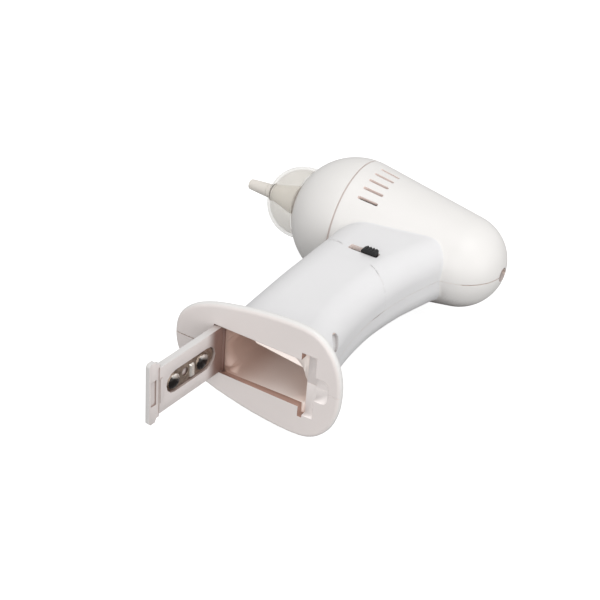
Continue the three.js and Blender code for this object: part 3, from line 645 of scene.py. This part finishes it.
def round_skin(bm):
    """Moves the skin onto the smooth surface; flat faces and seams stay where they are."""
    skin = [v for v in bm.verts if of_skin(v.link_faces)]
    p = places(skin)
    start = p.copy()
    x, y, z = start.T
    for _ in range(4):
        p += to_surface(field(p), gradient(p))
    move = p - start
    size = np.linalg.norm(move, axis=1, keepdims=True)
    p = start + move * np.minimum(1, MOST_MOVE / np.maximum(size, 1e-9))
    flat = y < FOOT_Y + 0.02
    walls = (y < FOOT_Y + MOUTH_DEEP + 0.01) & (x > 1.9) & (x < 47) & (np.abs(z) < 13.4)
    p[flat | walls] = start[flat | walls]
    at_nose = np.abs(x - SEAM_X) < 0.03
    p[at_nose, 0] = x[at_nose]
    on_seam = np.abs(z) < SEAM_HALF
    p[on_seam, 2] = z[on_seam]
    for v, q in zip(skin, p):
        v.co = at(*q)


def raise_groove(bm):
    """The styling line is only a shallow step."""
    line = [v for v in bm.verts if any(f.material_index == IN_GROOVE for f in v.link_faces)]
    p = places(line)
    f, g = field(p), gradient(p)
    low = (f < -0.2) & (f > -1.7) & (np.abs(p[:, 2]) > 0.2)
    p[low] += to_surface(f, g, -GROOVE_DEEP)[low]
    for v, q in zip(line, p):
        v.co = at(*q)


def close_seam(bm, side):
    """The halves meet in a hairline, open only at the tail and at the foot's front."""
    x, y, z = places(bm.verts).T
    tail = (x > 47) & (y > -16)
    front = (x < 1) & (y < -95)
    close = (np.abs(z) < SEAM_HALF) & ~tail & ~front
    for v, yes in zip(bm.verts, close):
        if yes:
            v.co.z = O.z + side * HAIRLINE * MM


def smooth_skin(mesh):
    """Shades the skin with the smooth surface's own normals."""
    smooth(mesh)
    normals = np.zeros((len(mesh.loops), 3), np.float32)
    mesh.corner_normals.foreach_get("vector", normals.ravel())
    co = np.zeros(len(mesh.vertices) * 3)
    mesh.vertices.foreach_get("co", co)
    g = gradient(to_design(co.reshape(-1, 3)))
    g /= np.maximum(np.linalg.norm(g, axis=1, keepdims=True), 1e-9)
    for poly in mesh.polygons:
        if poly.material_index > FOOT_SKIN:
            continue
        for i in poly.loop_indices:
            n = g[mesh.loops[i].vertex_index]
            if n.dot(poly.normal) > 0.6:
                normals[i] = n
    mesh.normals_split_custom_set([tuple(n) for n in normals])


def shell(name, source, side):
    """Half of the body, drawn from its CAD node; side is +1 above the seam, -1 below."""
    bm = bmesh.new()
    bm.from_mesh(nodes[source].data)
    bmesh.ops.remove_doubles(bm, verts=bm.verts, dist=1e-7)
    sort_faces(bm)
    refine(bm, FINEST * MM)
    round_skin(bm)
    raise_groove(bm)
    close_seam(bm, side)
    for v in bm.verts:
        v.co = held(v.co)
    if side > 0:
        ledge(bm)
    mesh = bpy.data.meshes.new(name)
    bm.to_mesh(mesh)
    bm.free()
    for mat in SHELL_MATERIALS:
        mesh.materials.append(mat)
    smooth_skin(mesh)
    return link(name, mesh, "housing", [source])


def lathe(name, profile, segments, body, replaced, mats, pick=None, angle=32):
    """Closed [x, r] profile turned about the head's axis."""
    n = len(profile)
    verts, faces = [], []
    for k in range(segments):
        a = 2 * math.pi * k / segments
        for x, r in profile:
            verts.append(held(at(x, r * math.cos(a), r * math.sin(a))))
    for k in range(segments):
        j = (k + 1) % segments
        for i in range(n):
            m = (i + 1) % n
            faces.append((k * n + i, k * n + m, j * n + m, j * n + i))
    mesh = bpy.data.meshes.new(name)
    mesh.from_pydata(verts, [], faces)
    for mat in mats:
        mesh.materials.append(mat)
    if pick:
        for index, poly in enumerate(mesh.polygons):
            poly.material_index = pick(index % n)
    bm = bmesh.new()
    bm.from_mesh(mesh)
    bmesh.ops.recalc_face_normals(bm, faces=bm.faces)
    bm.to_mesh(mesh)
    bm.free()
    smooth(mesh, angle)
    return link(name, mesh, body, replaced)


def arc(cx, r, a0, a1, steps):
    """Profile points on a circle centred on the axis at cx, both ends included."""
    angles = [a0 + (a1 - a0) * i / steps for i in range(steps + 1)]
    return [(cx + r * math.cos(a), r * math.sin(a)) for a in angles]


def nose():
    """Front cap: the dome with its seam groove behind and the spigot in front."""
    first = math.acos(SEAM_X / DOME_R) + 0.048
    last = math.pi - math.asin(4.75 / DOME_R)
    wall = DOME_R - 2
    groove = [
        (SEAM_X - 0.1, DOME_R - 0.9), (SEAM_X - 0.12, DOME_R - 0.45), (SEAM_X - 0.5, DOME_R - 0.4),
        (SEAM_X - 0.66, DOME_R - 0.14),
    ]
    spigot = [
        (-24.9, 4.72), (-25.6, 4.66), (-28.5, 4.1), (-28.8, 4.0), (-28.98, 3.85),
        (-29, 3.7), (-29, 3),
    ]
    profile = [
        *groove,
        (SEAM_X - 0.8, DOME_R - 0.04),
        *arc(0, DOME_R, first, last, 40),
        *spigot,
        *arc(0, wall, math.pi - math.asin(3 / wall), math.pi / 2 + 0.08, 20),
        (-0.6, 20.7), (5.2, 20.7), (5.2, 21.9), (SEAM_X - 0.3, 21.9),
    ]
    return lathe("nose_cap", profile, 128, "housing", ["nose_dome"], [NOSE, SEAM_AND_SHADE],
                 pick=lambda i: int(i < len(groove) - 1), angle=28)


BOWL_X = -23.8
BOWL_R = 14.3


def milky(name, colour, alpha, rough):
    """Translucent plastic, seen through by alpha."""
    mat = plastic(name, colour, rough, 0.02)
    bsdf = mat.node_tree.nodes["Principled BSDF"]
    bsdf.inputs["Specular IOR Level"].default_value = 0.12
    bsdf.inputs["Alpha"].default_value = alpha
    return mat


def bowl():
    """Splash guard: a thin bowl on a hollow cone, which ends in a nipple for the tip."""
    inner = BOWL_R - 1.2
    clear = DOME_R + 0.4
    outside = arc(BOWL_X, BOWL_R, math.pi / 2, math.pi - math.asin(2.8 / BOWL_R), 24)
    stop = math.asin(3.45 / inner)
    inside = arc(BOWL_X, inner, math.pi - stop, math.pi / 2, 20)
    nipple = [
        (-39.7, 2.78), (-39.78, 2.76), (-39.8, 1.45), (-44.4, 1.45), (-44.4, 0.8), (-38.6, 0.8),
        (-37.2, 1.8), (-29, 4.4), (-25.7, 5.15), (-25.7, 6.15), (-27, 5.9), (-37.3, 3.1),
    ]
    rim = [
        (-math.sqrt(clear ** 2 - inner ** 2), inner),
        (-math.sqrt(clear ** 2 - (inner + 0.5) ** 2) - 0.05, inner + 0.5),
        (-math.sqrt(clear ** 2 - BOWL_R ** 2), BOWL_R - 0.05),
    ]
    profile = [*outside, *nipple, *inside, *rim]
    nipple_from, cone_from = len(outside) - 2, len(outside) + 5
    cone_to = len(outside) + len(nipple)
    clear_wall, cone, outer_nipple = range(3)

    def pick(i):
        if nipple_from <= i < cone_from:
            return outer_nipple
        return cone if cone_from <= i < cone_to else clear_wall

    mats = [
        milky("guard_milky", (0.70, 0.665, 0.60), 0.3, 0.22),
        milky("guard_nozzle", (0.93, 0.89, 0.83), 0.97, 0.28),
        milky("guard_nipple", (0.70, 0.66, 0.61), 0.95, 0.3),
    ]
    return lathe("guard_bowl", profile, 96, "guard", ["splash_guard"], mats,
                 pick=pick, angle=35)


def tip():
    """Soft tapered sleeve over the guard's nipple."""
    profile = [
        (-39.86, 2.77), (-40.2, 2.75), (-43, 2.55), (-47.7, 2.14), (-48.15, 2.05),
        (-48.38, 1.9), (TIP_END_X, 1.7), (TIP_END_X, 1.25), (-48.38, 1.15),
        (-48.2, 1.1), (-45, 1.1), (-44.7, 1.75), (-39.86, 1.75),
    ]
    mat = milky("tip_silicone", (0.72, 0.68, 0.63), 0.93, 0.35)
    return lathe("tip_sleeve", profile, 64, "tip", ["ear_tip"], [mat], angle=30)


def softened(name, source, body, width, mats, angle=40):
    """Copy of a CAD piece with its edges rounded over."""
    bm = bmesh.new()
    bm.from_mesh(nodes[source].data)
    bmesh.ops.remove_doubles(bm, verts=bm.verts, dist=1e-7)
    bmesh.ops.dissolve_limit(bm, angle_limit=math.radians(2), verts=bm.verts, edges=bm.edges)
    mesh = bpy.data.meshes.new(name)
    bm.to_mesh(mesh)
    bm.free()
    for mat in mats:
        mesh.materials.append(mat)
    obj = link(name, mesh, body, [source])
    mod = obj.modifiers.new("edges", "BEVEL")
    mod.width = width
    mod.segments = 3
    mod.limit_method = "ANGLE"
    mod.angle_limit = math.radians(angle)
    mod.harden_normals = True
    mesh.polygons.foreach_set("use_smooth", [True] * len(mesh.polygons))
    return obj


def door_at(x, y, z):
    """A place on the closed door, carried along to where the open door has it."""
    dx, dy = x - HINGE[0], y - HINGE[1]
    c, s = math.cos(-DOOR_OPEN), math.sin(-DOOR_OPEN)
    return at(HINGE[0] + dx * c - dy * s, HINGE[1] + dx * s + dy * c, z)


def painted_highlight_dome_material():
    """Polished dome with painted reflection: dark below and a painted highlight on the side that
    faces up.
    """
    mat, tree, bsdf = new_material("contact_dome_painted_highlight")
    highlight_side = cosine(tree, (0.45, 0.35, 0.82))
    tone = spread(tree, highlight_side, 0.62, 0.9, (0.012, 0.009, 0.008), (0.95, 0.9, 0.85))
    tree.links.new(tone, bsdf.inputs["Base Color"])
    bsdf.inputs["Metallic"].default_value = 0.6
    tree.links.new(level(tree, noise(tree, 900, 3.0), 0.16, 0.26), bsdf.inputs["Roughness"])
    return mat


DOMES = [(15.4, -0.35), (29.4, -0.35)]
DOME_REACH = 2.9
STRAP = (20.6, -0.6)
STRAP_HALF = (1.0, 2.6)
HOLE = (23.6, 0.1)


def contact_height(x, z):
    """How far the sheet stands out: two domes, each in a shallow moat, and the strap."""
    h = 0.0
    for dx, dz in DOMES:
        d = math.hypot(x - dx, z - dz) / DOME_REACH
        if d < 1:
            h = max(h, 1.45 * (1 - d * d) ** 0.6)
        elif d < 1.25:
            h = max(h, 0.0) - 0.18 * math.sin((d - 1) / 0.25 * math.pi)
    in_x = STRAP_HALF[0] - abs(x - STRAP[0])
    in_z = STRAP_HALF[1] - abs(z - STRAP[1])
    if in_x > 0 and in_z > 0:
        h = 0.85 * min(1, in_x * 6) * min(1, in_z * 3)
    return h


def contact():
    """Pressed nickel sheet with two domes, a raised strap and a hole."""
    base = FOOT_Y + 1.7
    r = 3.9
    x0, x1 = 9.6, 33.0
    rows, cols = 40, 150
    verts, faces, kept = [], [], {}
    for i in range(cols + 1):
        for j in range(rows + 1):
            x = x0 + (x1 - x0) * i / cols
            z = -r + 2 * r * j / rows
            cx = min(max(x, x0 + r), x1 - r)
            if math.hypot(x - cx, z) > r + 0.02:
                continue
            if math.hypot((x - HOLE[0]) * 1.1, z - HOLE[1]) < 1.45:
                continue
            kept[(i, j)] = len(verts)
            verts.append(door_at(x, base + contact_height(x, z), z))
    for i in range(cols):
        for j in range(rows):
            ring = [(i, j), (i + 1, j), (i + 1, j + 1), (i, j + 1)]
            if all(k in kept for k in ring):
                faces.append([kept[k] for k in ring])
    mesh = bpy.data.meshes.new("contact_plate")
    mesh.from_pydata(verts, [], faces)
    mesh.materials.append(metal("contact_nickel", (0.30, 0.235, 0.19), 0.3, 0.25, 700, 0.85))
    mesh.materials.append(painted_highlight_dome_material())
    mesh.materials.append(metal("contact_strap", (0.86, 0.83, 0.78), 0.3, 0.05))
    up = (door_at(20, base, 0) - door_at(20, base - 1, 0)).normalized()
    for poly in mesh.polygons:
        c = poly.center
        for dx, dz in DOMES:
            w = c - door_at(dx, base, dz)
            w -= up * w.dot(up)
            if w.length < 2.75 * MM:
                poly.material_index = 1
        w = c - door_at(STRAP[0], base, STRAP[1])
        if abs(w.z) < STRAP_HALF[1] * MM and abs(w.y) < STRAP_HALF[0] * MM:
            poly.material_index = 2
    bm = bmesh.new()
    bm.from_mesh(mesh)
    bmesh.ops.recalc_face_normals(bm, faces=bm.faces)
    bm.normal_update()
    if sum(f.normal.dot(up) for f in bm.faces) < 0:
        bmesh.ops.reverse_faces(bm, faces=bm.faces)
    bm.to_mesh(mesh)
    bm.free()
    smooth(mesh, 60)
    obj = link("contact_plate", mesh, "door", ["door_contact"])
    thick = obj.modifiers.new("sheet", "SOLIDIFY")
    thick.thickness = 0.3 * MM
    thick.offset = -1
    return obj


def spring():
    """Coil at the battery bay's inner end, four turns, narrowing inward."""
    curve = bpy.data.curves.new("bay_coil", "CURVE")
    curve.dimensions = "3D"
    curve.bevel_depth = 0.4 * MM
    curve.bevel_resolution = 4
    spline = curve.splines.new("POLY")
    turns = 4
    count = turns * 28
    y0, y1 = -47.9, -53.1
    wide, narrow = 3.9, 2.2
    spline.points.add(count)
    for i in range(count + 1):
        t = i / count
        a = t * turns * 2 * math.pi
        r = wide + (narrow - wide) * t
        p = at(13.4 + r * math.cos(a), y0 + (y1 - y0) * t, -0.5 + r * math.sin(a))
        spline.points[i].co = (*p, 1)
    curve.use_fill_caps = True
    curve.materials.append(metal("coil_nickel", (0.62, 0.58, 0.53), 0.25))
    obj = bpy.data.objects.new("bay_coil", curve)
    bpy.context.scene.collection.objects.link(obj)
    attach(obj, "housing")
    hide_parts("bay_spring")
    return obj


def set_material(name, mat):
    mesh = nodes[name].data
    mesh.materials.clear()
    mesh.materials.append(mat)


def inner_parts():
    """Materials for the CAD nodes that are drawn as they are."""
    fit = plastic("fan_plastic", (0.66, 0.63, 0.58), 0.4, 0.03)
    steel = metal("steel", (0.55, 0.55, 0.56), 0.3)
    brass = metal("brass", (0.62, 0.44, 0.19), 0.32)
    nickel = metal("bay_nickel", (0.58, 0.53, 0.47), 0.3)
    red = plastic("red_insulation", (0.45, 0.03, 0.02), 0.4, 0.06)
    black = plastic("black_insulation", (0.02, 0.02, 0.021), 0.4, 0.1)
    foam_grey = foam("filter_foam", (0.26, 0.27, 0.29))
    copper = metal("copper_winding", (0.55, 0.25, 0.12), 0.4, 0.2, 900)
    looks = {
        "filter_pad": foam_grey,
        "filter_ring": fit,
        "fan_inlet_plate": fit,
        "impeller": fit,
        "motor_shaft": steel,
        "motor_rotor": copper,
        "motor_can": metal("motor_steel", (0.42, 0.42, 0.43), 0.36),
        "motor_end_cap": plastic("motor_black", (0.018, 0.018, 0.02), 0.45, 0.1),
        "motor_terminal_plus": brass,
        "motor_terminal_minus": brass,
        "switch_body": plastic("switch_brown", (0.05, 0.032, 0.024), 0.5, 0.08),
        "switch_pin_1": brass,
        "switch_pin_2": brass,
        "switch_pin_3": brass,
        "contact_bulkhead": plastic("bulkhead_plastic", (0.66, 0.55, 0.48), 0.5, 0.03),
        "bay_contact_minus": nickel,
        "bay_contact_plus": nickel,
        "wire_motor_red": red,
        "wire_motor_black": black,
        "wire_bay_red": red,
    }
    for i in range(4):
        looks[f"shell_screw_{i + 1}"] = steel
    for name, mat in looks.items():
        set_material(name, mat)


# ---- stage --------------------------------------------------------------

FLOOR_HALF = 12.0
FLOOR_GLOW = 0.9
SKY = 0.86
SKY_SEEN = 0.2          # extra that only the camera sees


def add_stage():
    """Pale floor and sky; the camera sees both as white, as behind the real object."""
    mesh = bpy.data.meshes.new("floor")
    s = FLOOR_HALF
    mesh.from_pydata([(-s, -s, 0), (s, -s, 0), (s, s, 0), (-s, s, 0)], [], [(0, 1, 2, 3)])
    floor = bpy.data.objects.new("floor", mesh)
    bpy.context.scene.collection.objects.link(floor)
    mat, tree, bsdf = new_material("floor")
    bsdf.inputs["Base Color"].default_value = (0.32, 0.32, 0.32, 1)
    bsdf.inputs["Roughness"].default_value = 0.9
    bsdf.inputs["Emission Color"].default_value = (1, 1, 1, 1)
    seen = node(tree, "ShaderNodeLightPath")
    glow = node(tree, "ShaderNodeMath", operation="MULTIPLY")
    glow.inputs[1].default_value = FLOOR_GLOW
    tree.links.new(seen.outputs["Is Camera Ray"], glow.inputs[0])
    tree.links.new(glow.outputs["Value"], bsdf.inputs["Emission Strength"])
    mesh.materials.append(mat)
    world = bpy.data.worlds.new("studio")
    bpy.context.scene.world = world
    world.use_nodes = True
    bg = world.node_tree.nodes["Background"]
    bg.inputs["Color"].default_value = (1, 1, 1, 1)
    sky = world.node_tree
    seen = node(sky, "ShaderNodeLightPath")
    lift = node(sky, "ShaderNodeMath", operation="MULTIPLY_ADD")
    lift.inputs[1].default_value = SKY_SEEN
    lift.inputs[2].default_value = SKY
    sky.links.new(seen.outputs["Is Camera Ray"], lift.inputs[0])
    sky.links.new(lift.outputs["Value"], bg.inputs["Strength"])
    bpy.context.scene.view_settings.view_transform = "Standard"


def add_area(name, where, aim, size, power):
    data = bpy.data.lights.new(name, "AREA")
    data.shape = "SQUARE"
    data.size = size
    data.energy = power
    light = bpy.data.objects.new(name, data)
    bpy.context.scene.collection.objects.link(light)
    light.location = where
    light.rotation_euler = (Vector(aim) - Vector(where)).to_track_quat("-Z", "Y").to_euler()


add_camera()
add_stage()
add_area("key", (0.38, -0.12, 0.95), (0, 0, 0), 0.5, 2.4)
add_area("fill", (0.25, -1.2, 0.32), (0, 0, 0.02), 0.9, 4.9)
add_area("side", (1.15, -0.35, 0.16), (0, 0, 0.02), 1.1, 5.4)
shell("left_housing", "left_shell", 1)
shell("right_housing", "right_shell", -1)
nose()
bowl()
tip()
softened("bay_door", "battery_door", "door", 0.28 * MM, [DOOR])
contact()
softened("slide_knob", "switch_knob", "power_slider", 0.16 * MM,
         [plastic("knob_black", (0.006, 0.006, 0.0065), 0.55, 0.15)])
spring()
inner_parts()
